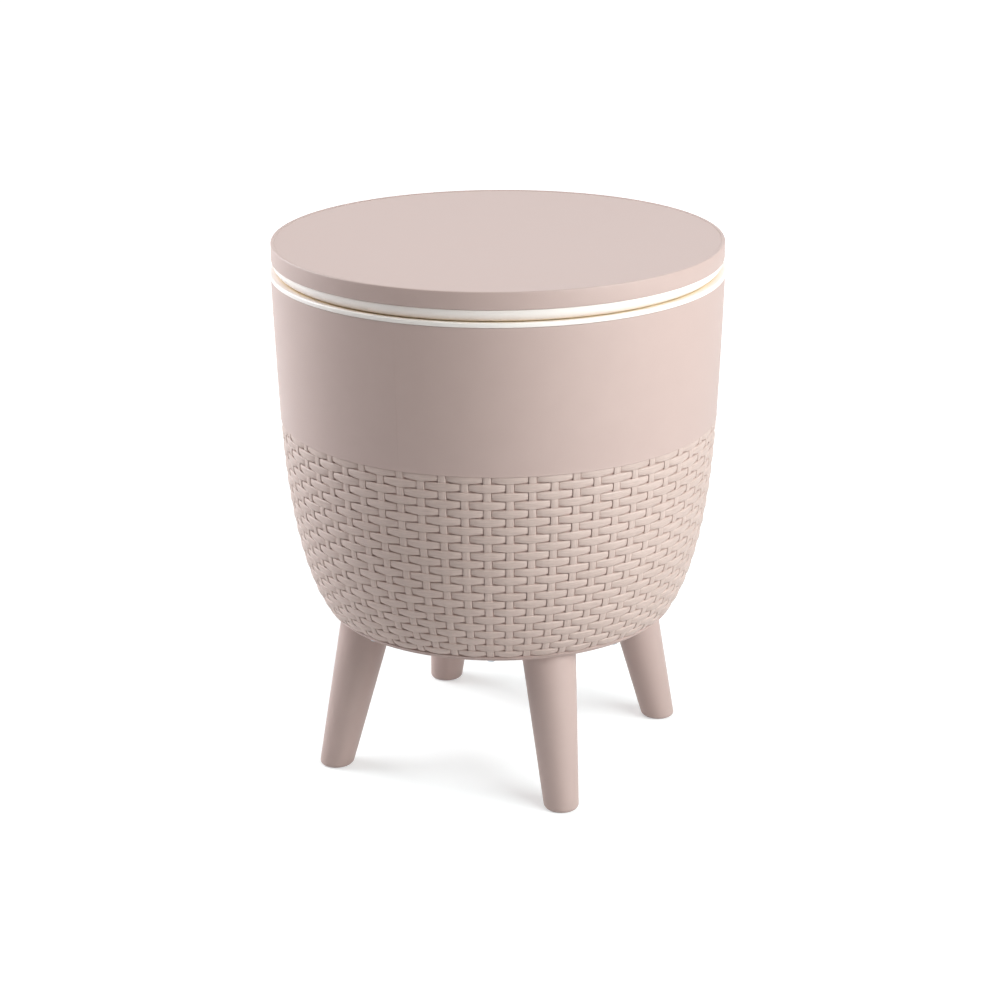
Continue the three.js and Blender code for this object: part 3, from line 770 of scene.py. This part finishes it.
# %% Base plate
cup_bottom = plate_bottom - 28
cup_floor = cup_bottom + plate_wall
leg_ring = (100, shell_screw_circle - 2.8)
plate_ring = (leg_ring[1], plate_radius - 2)
tower_inside = 22
cup_screw_circle = leg_centre(cup_bottom)
cup_mouth = cup_radius(plate_top) - plate_wall
cup_seat = cup_radius(cup_floor) - plate_wall
cup = drilled(*leg_ring, 4, cup_screw_circle, [
    (None, plate_top), (cup_mouth, plate_top, leg_centre(plate_top)),
    (cup_mouth - 0.4, plate_top - 0.6, leg_centre(plate_top)),
    (cup_seat + 0.1, cup_floor + 0.5, leg_centre(cup_floor)),
    (cup_seat - 0.4, cup_floor, leg_centre(cup_floor)),
    (screw_hole, cup_floor), (screw_hole, cup_bottom),
    (cup_radius(cup_bottom) - 0.6, cup_bottom), (cup_radius(cup_bottom), cup_bottom + 0.6),
    (cup_radius(plate_bottom), plate_bottom, leg_centre(plate_bottom)), (None, plate_bottom),
], steps=8)
rim_hole = drilled(*plate_ring, 8, shell_screw_circle, [
    (None, plate_top), (screw_hole, plate_top), (screw_hole, plate_bottom), (None, plate_bottom),
], steps=2)
bead = rounded([
    (plate_ring[1], plate_bottom, 0), (plate_radius, plate_bottom, 0.95), (plate_radius, plate_top, 0.95),
    (plate_ring[1], plate_top, 0),
])
tower_top = floor_bottom - gap
tower = rounded([
    (leg_ring[0], plate_top, 0), (tower_inside + wall, plate_top, 2), (tower_inside + wall, tower_top, 0.5),
    (tower_inside, tower_top, 0.5), (tower_inside, plate_top, 1), (spout_hole, plate_top, 0.4),
    (spout_hole, plate_bottom, 0.4), (leg_ring[0], plate_bottom, 0),
])
print("Leg screws:", round(cup_screw_circle, 2), "mm from the axis")

# %% Ribs on the plate
def rib(start, end, angle, half_width=1.25, bottom=plate_top - 0.8, top=plate_top + 12):
    """A rib along a radius: a profile with a rounded top, carried from start to end."""
    profile = rounded([(-half_width, bottom, 0), (half_width, bottom, 0), (half_width, top, 0.7),
                       (-half_width, top, 0.7), (-half_width, bottom, 0)])[::-1]
    middle = 0 * profile + [0, (bottom + top) / 2]
    flat = np.stack([middle, profile, profile, middle])
    x = np.array([start, start, end, end], float)[:, None, None] + 0 * flat[..., :1]
    return spread(join([x, flat], -1), 1, angle)


rib_start = tower_inside + wall - 0.6
rib_end = flange_inside - 3.6
cut_rib_end = leg_centre(plate_top) - cup_radius(plate_top) + plate_wall - 0.6
ribs = [rib(rib_start, rib_end if k % 2 == 0 else cut_rib_end, 45 * k) for k in range(8)]
plate_parts = [spread(cup, 4, 45), spread(rim_hole, 8, 22.5), turned(bead), turned(tower), *ribs]
make_piece("base_plate_disc", plate_parts, satin, "base_plate")

# %% [markdown]
# A leg is a hollow, tapered cone on a slant: every level section is a circle, and its centre
# moves inwards with height, so the foot stands flat. The foot's edge is well rounded. At the
# top, the side that faces along the plate's edge flares out softly to meet the plate.

# %% Legs
def leg(angle, sides=72):
    """One leg: (rho, z) turned about its own slanted middle, rho cos b + centre(z), rho sin b.

    The flare adds 2.2 mm times the share of its height to the power 1.5, times a bell curve
    round the leg: exp(-(turn / 38 degrees)^2), with the turn counted from the flare's side.
    """
    foot_floor = 8
    post_radius = 8.5
    post_top = cup_bottom - gap
    post_pilot = post_top - 11.8
    flare_bottom = leg_top - 14.3
    flare_reach = 2.2
    flare_side = -109
    flare_width = 38
    lower = np.linspace(foot_floor, flare_bottom - 4, 14)
    upper = np.linspace(flare_bottom - 1, leg_top - 0.4, 9)
    heights = join([lower, upper])
    outside = np.stack([leg_radius(heights), heights], -1)
    outline = join([
        rounded([(0, 0, 0), (leg_radius(0) - 0.1, 0, 4.4), (leg_radius(9), 9, 0)], step=12)[:-1],
        outside[1:],
        rounded([(leg_top_radius - 0.02, leg_top - 0.35, 0), (leg_top_radius, leg_top, 0.3),
                 (leg_top_radius - wall, leg_top, 0.3), (leg_radius(foot_floor) - wall, foot_floor, 2),
                 (post_radius, foot_floor, 1), (post_radius, post_top, 0.4), (pilot_radius, post_top, 0.2),
                 (pilot_radius, post_pilot, 0), (0, post_pilot, 0)]),
    ])
    rho, z = outline.T
    centre = leg_centre(z)
    centre[-3:] = leg_centre(post_top)
    b = np.radians(np.linspace(0, 360, sides + 1))
    rise = np.clip((z - flare_bottom) / (leg_top - flare_bottom), 0, 1)
    flare_share = ((rho > leg_top_radius - 1) * rise ** 1.5)[:, None]
    turn = (b - np.radians(flare_side) + np.pi) % (2 * np.pi) - np.pi
    bell = np.exp(-(turn / np.radians(flare_width)) ** 2)
    grid = polar(rho[:, None] + flare_reach * flare_share * bell, b, z[:, None])
    grid[..., 0] += centre[:, None]
    return spread(grid, 1, angle)


for k in range(4):
    make_piece(f"leg_{k + 1}_tapered", [leg(45 + 90 * k)], satin, f"leg_{k + 1}")

# %% [markdown]
# All eighteen screws are alike: pan head with a cross recess and a coarse thread that cuts its
# own way into plastic. The thread is a helix: at each height the radius follows a triangle wave
# that shifts by one turn per pitch. The cross is pressed into the domed head.

# %% Screws
def screw(x, y, seat, turned_over=False, sides=32):
    """A screw with its head's seat at the given height: head below and thread above it.

    Thread: 1.5 + 0.4 * triangle(z / pitch - turn), which fades in over the first 0.6 mm. Head: a
    dome 0.9 (1 - (r / 3.8)^4) high on a plate of 1.5 mm. Its cross is 1.3 mm deep where |x| or
    |y| is under 0.42 and the other under 1.55, and its sides slope over 0.2 mm.
    """
    head_radius = 3.8
    core = 1.5
    pitch = 1.8
    slope = 0.2
    a = np.radians(np.linspace(0, 360, sides + 1))
    r = np.array([0, 0.3, 0.45, 0.62, 0.85, 1.1, 1.35, 1.6, 1.85, 2.3, 2.8, 3.3, 3.65])[:, None]
    px, py = np.abs(r * np.cos(a)), np.abs(r * np.sin(a))
    slot = np.clip((0.62 - np.minimum(px, py)) / slope, 0, 1)
    slot = np.minimum(slot, np.clip((1.75 - np.maximum(px, py)) / slope, 0, 1))
    head = polar(r, a, -1.5 - 0.9 * (1 - (r / head_radius) ** 4) + 1.3 * slot)
    side = rounded([(head_radius - 0.02, -1.45, 0), (head_radius, 0, 0.12), (1.6, 0, 0)])
    z = np.arange(0, 13.0, 0.3)[:, None]
    phase = (z / pitch - a / (2 * np.pi)) % 1
    crest = np.clip(1 - np.abs(phase - 0.5) * 4, 0, 1)
    shank = polar(core + 0.4 * crest * np.clip(z / 0.6, 0, 1), a, z)
    tip = turned([(1.1, 13.7), (0.7, 14), (0, 14)], np.degrees(a))
    grid = join([head, turned(side, np.degrees(a)), shank, tip])
    if turned_over:
        grid = grid * [1, -1, -1]
    return grid + [x, y, seat]


groups = [("lid", 6, lid_screw_circle, 0, well_ceiling - gap, False),
          ("base", 8, shell_screw_circle, 22.5, plate_bottom - gap, False),
          ("leg", 4, cup_screw_circle, 45, cup_floor + gap, True)]
for group, count, circle, first, seat, over in groups:
    body = "lid" if group == "lid" else "table"
    for k in range(count):
        a = math.radians(first + 360 * k / count)
        grid = screw(circle * math.cos(a), circle * math.sin(a), seat, over)
        node = f"{group}_screw_{k + 1}"
        make_piece(f"{node}_threaded", [grid], zinc, node, body=body)

# %% [markdown]
# The drain empties the melted ice. A flanged spout goes through the bucket's floor and through
# the base plate, a rubber washer seals it, a six-sided nut clamps it from below and a knurled
# cap closes it.

# %% Drain spout
washer_bottom = floor_top + gap
washer_top = washer_bottom + 1.6
flange_bottom = washer_top + gap
spout_bottom = plate_bottom - 22
flange_radius = 20
neck_radius = 12
bore_radius = 8
root_radius = 11.3
round_drain = np.linspace(0, 360, 97)


def drain_spout():
    """Flange, threaded stem and bore. The thread is a helix with a pitch of 2.5 mm."""
    top = flange_bottom + 3
    flange = rounded([(neck_radius, flange_bottom, 0.3), (flange_radius, flange_bottom, 0.4),
                      (flange_radius, top, 1.4), (bore_radius, top, 0.8), (bore_radius, top - 2, 0)])
    bore = rounded([(bore_radius, top - 2, 0), (bore_radius, spout_bottom, 0.4),
                    (root_radius - 0.1, spout_bottom, 0.3), (root_radius, spout_bottom + 0.6, 0)])
    a = np.radians(round_drain)
    z = np.arange(spout_bottom + 1, flange_bottom - 2.9, 0.31)[:, None]
    phase = (z / 2.5 - a / (2 * np.pi)) % 1
    stem = polar(root_radius + 0.7 * np.clip(1.6 - np.abs(phase - 0.5) * 4, 0, 1), a, z)
    neck = [(neck_radius, flange_bottom - 2.4), (neck_radius, flange_bottom)]
    return join([
        turned(bore, round_drain), stem, turned(neck, round_drain), turned(flange[1:], round_drain),
    ])


make_piece("drain_spout_threaded", [drain_spout()], gloss, "drain_spout")

# %% Washer and nut
washer = rounded([
    (16, washer_bottom, 0), (flange_radius, washer_bottom, 0.5), (flange_radius, washer_top, 0.5),
    (spout_hole, washer_top, 0.4), (spout_hole, washer_bottom, 0.4), (16, washer_bottom, 0),
])
make_piece("drain_washer_ring", [turned(washer, round_drain)], rubber, "drain_washer")
thread_hole = 12.3


def drain_nut():
    """A six-sided nut: the flats lie at apothem / cos(angle from the flat's middle).

    Both ends are chamfered by a cone of 30 degrees, which cuts the corners in curves.
    """
    apothem = 17.32
    chamfer = 17.0
    top = plate_bottom - gap
    bottom = top - 8
    mouth = thread_hole + 0.6
    hexagon = apothem / np.cos(np.radians((round_drain + 30) % 60 - 30))
    cut = (hexagon - chamfer) * math.tan(math.radians(30))
    rows = [(mouth, bottom), (chamfer, bottom), (hexagon, bottom + cut), (hexagon, top - cut),
            (chamfer, top), (mouth, top), (thread_hole, top - 0.6), (thread_hole, bottom + 0.6),
            (mouth, bottom)]
    return np.stack([polar(r, np.radians(round_drain), z) for r, z in rows])


make_piece("drain_nut_hexagon", [drain_nut()], gloss, "drain_nut")

# %% Drain cap
def drain_cap():
    """A cap with 24 grip grooves: the radius dips by up to 0.6 mm along the middle of its side."""
    radius = 14.8
    bottom = spout_bottom - gap - plate_wall
    floor_height = bottom + plate_wall
    top = bottom + 12
    a = np.radians(np.linspace(0, 360, 193))
    outline = join([
        rounded([(0, bottom, 0), (radius, bottom, 0.9), (radius, bottom + 1.4, 0)]),
        [(radius, bottom + 2), (radius, bottom + 2.6), (radius, top - 2), (radius, top - 1.4)],
        rounded([(radius, top - 0.8, 0), (radius, top, 0.4), (thread_hole, top, 0.4),
                 (thread_hole, floor_height, 0.5), (0, floor_height, 0)]),
    ])
    r, z = outline.T[..., None]
    groove = np.clip(np.minimum(z - bottom - 1.4, top - 0.8 - z) / 1.2, 0, 1) * (r > radius - 0.1)
    return polar(r - groove * 0.6 * np.clip(0.5 - 0.9 * np.cos(24 * a), 0, 1), a, z)


make_piece("drain_cap_knurled", [drain_cap()], gloss, "drain_cap", body="cap")

# %% [markdown]
# The picture was taken from a little above, with a long lens. The camera's place, direction
# and focal length were fitted to the rims and the feet: seen from 295.5 degrees round the
# table, 2.33 m away and 1.04 m up, looking down by 18.8 degrees.

# %% Camera
view = math.radians(295.503)
eye_distance = 2.3327
eye_height = 1.0413
down = 0.32781
sideways = 0.00031
tilt = -0.0058
focal_ratio = 2.57149
eye = Vector((eye_distance * math.cos(view), eye_distance * math.sin(view), eye_height))
toward = view - sideways
ahead = Vector((-math.cos(toward) * math.cos(down), -math.sin(toward) * math.cos(down), -math.sin(down)))
level = Vector((-math.sin(toward), math.cos(toward), 0))
upright = level.cross(ahead)
right = math.cos(tilt) * level + math.sin(tilt) * upright
up = math.cos(tilt) * upright - math.sin(tilt) * level
camera = shown_as("camera", bpy.data.cameras.new("camera"))
camera.matrix_world = Matrix.Translation(eye) @ Matrix((right, up, -ahead)).transposed().to_4x4()
camera.data.sensor_width = 36
camera.data.lens = focal_ratio * camera.data.sensor_width
camera.data.clip_end = 50
bpy.context.scene.camera = camera
print("Focal length:", round(camera.data.lens, 2), "mm on a 36 mm sensor")

# %% [markdown]
# The light is that of a white photo studio: a large softbox on each side, whose middle is more
# than twice as high as the table, and a weak light from the wall behind. The softboxes stand
# near, so the table shades its own far legs. White surroundings are a plain world colour: rays
# that go straight to the eye or mirror off the plastic see it at full white, and for everything
# else it is much dimmer, so the shadows keep their depth.

# %% Lamps
def placed(name, lamp, source, aim):
    """Puts a lamp at a point in metres, facing another one."""
    facing = (source - aim).to_track_quat("Z", "Y").to_matrix().to_4x4()
    shown_as(name, lamp).matrix_world = Matrix.Translation(source) @ facing
    print(name, "at", [round(value, 2) for value in source])


def softbox(name, azimuth, power, colour, distance=1.8, middle=1.25, side=1.7, aim=0.45):
    """A square softbox in that direction from the table, facing it, with its sizes in metres."""
    lamp = bpy.data.lights.new(name, "AREA")
    lamp.shape = "SQUARE"
    lamp.size = side
    lamp.energy = power
    lamp.color = linear(colour)[:3]
    a = math.radians(azimuth)
    source = Vector((distance * math.cos(a), distance * math.sin(a), middle))
    placed(name, lamp, source, Vector((0, 0, aim)))


softbox("right_softbox", 352, 60, "#f5ffff")
softbox("left_softbox", 186, 54, "#f5fcff")
wall_light = bpy.data.lights.new("back_wall", "SUN")
wall_light.energy = 0.5
wall_light.angle = math.radians(40)
placed("back_wall", wall_light, Vector((-0.64, 2.37, 1.72)), Vector())

# %% Surroundings
world = bpy.data.worlds.new("white_studio")
bpy.context.scene.world = world
world.use_nodes = True
tree = world.node_tree
background = tree.nodes["Background"]
background.inputs["Color"].default_value = linear("#ffffff")
strength = ramp(tree, seen_by(tree, "Camera", "Glossy", "Transmission"), 0.08, 1.0)
tree.links.new(strength, background.inputs["Strength"])
print("World:", world.name)

# %% [markdown]
# The floor is a white paper sweep. Its diffuse part catches the lamps and keeps the soft shadow
# under the table. A glow that only the eye and reflections see lifts it to pure white, without
# throwing more light on the object. The glow is weaker near the table, where the shadow lies.

# %% Floor
floor_mesh = bpy.data.meshes.new("studio_floor")
floor_size = 8
edge = polar(floor_size, np.radians(np.arange(0, 360, 5)), 0)
floor_mesh.from_pydata(edge.tolist(), [], [list(range(len(edge)))])
floor = shown_as("studio_floor", floor_mesh)
paper = bpy.data.materials.new("white_paper_sweep")
paper.use_nodes = True
tree = paper.node_tree
tree.nodes.clear()
place = add(tree, "TexCoord").outputs["Object"]
away = add(tree, "VectorMath", {0: place}, operation="LENGTH").outputs["Value"]
rising = ramp(tree, away, 0.45, 0.95, 0.5, 2.2, "SMOOTHSTEP")
seen = seen_by(tree, "Camera", "Glossy")
glow = add(tree, "Math", {0: seen, 1: rising}, operation="MULTIPLY")
fibres = add(tree, "TexNoise", {"Scale": per_metre(3), "Detail": 2.0})
tint = mixed(tree, fibres.outputs["Fac"], "#d3d3d3", "#d6d6d6")
matt = add(tree, "BsdfDiffuse", {"Color": tint})
shine = add(tree, "Emission", {"Strength": glow.outputs[0]})
both = add(tree, "AddShader", {0: matt.outputs[0], 1: shine.outputs[0]})
add(tree, "OutputMaterial", {"Surface": both.outputs[0]})
floor_mesh.materials.append(paper)
print("Floor:", 2 * floor_size, "m across")

# %% [markdown]
# Colours are shown as they are, with the plain standard view.

# %% Finish
bpy.context.scene.view_settings.view_transform = "Standard"
